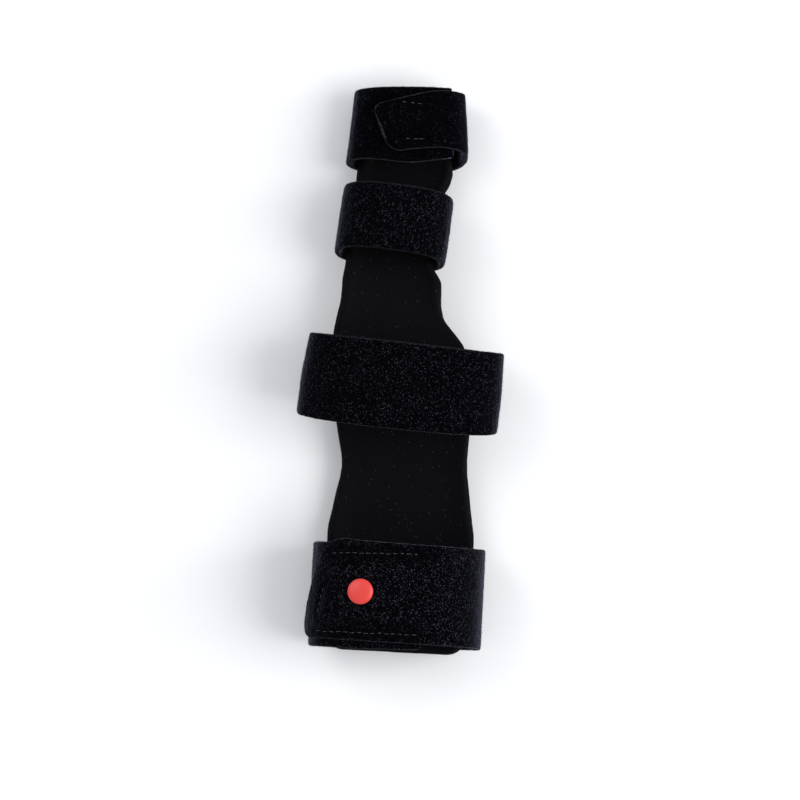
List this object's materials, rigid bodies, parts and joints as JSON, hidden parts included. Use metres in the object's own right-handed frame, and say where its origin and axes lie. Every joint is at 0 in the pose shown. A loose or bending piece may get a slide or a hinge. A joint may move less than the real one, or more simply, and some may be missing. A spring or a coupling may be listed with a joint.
{
  "type": "finger splint",
  "caption": "Padded palmar shell from the wrist past the fingertips, with four soft velour straps closed round wrist, hand and two fingers, and a red button on the wrist tab.",
  "frame": {"origin": "middle of the underside of the whole splint, which lies on its palmar side", "axes": "+Y from the wrist to the fingertips, +Z from the palm to the back of the hand, +X to the little finger's side of a right hand"},
  "size_m": [0.0816, 0.23, 0.0524],
  "materials": {
    "shell_fabric": "matt black textile",
    "strap_velour": "black looped velour with light specks",
    "button_plastic": "smooth red"
  },
  "bodies": {
    "root": {"palmar_shell": "shell_fabric", "wrist_strap": "strap_velour", "hand_strap": "strap_velour", "finger_strap": "strap_velour", "fingertip_strap": "strap_velour", "button_cap": "button_plastic"}
  },
  "joints": []
}
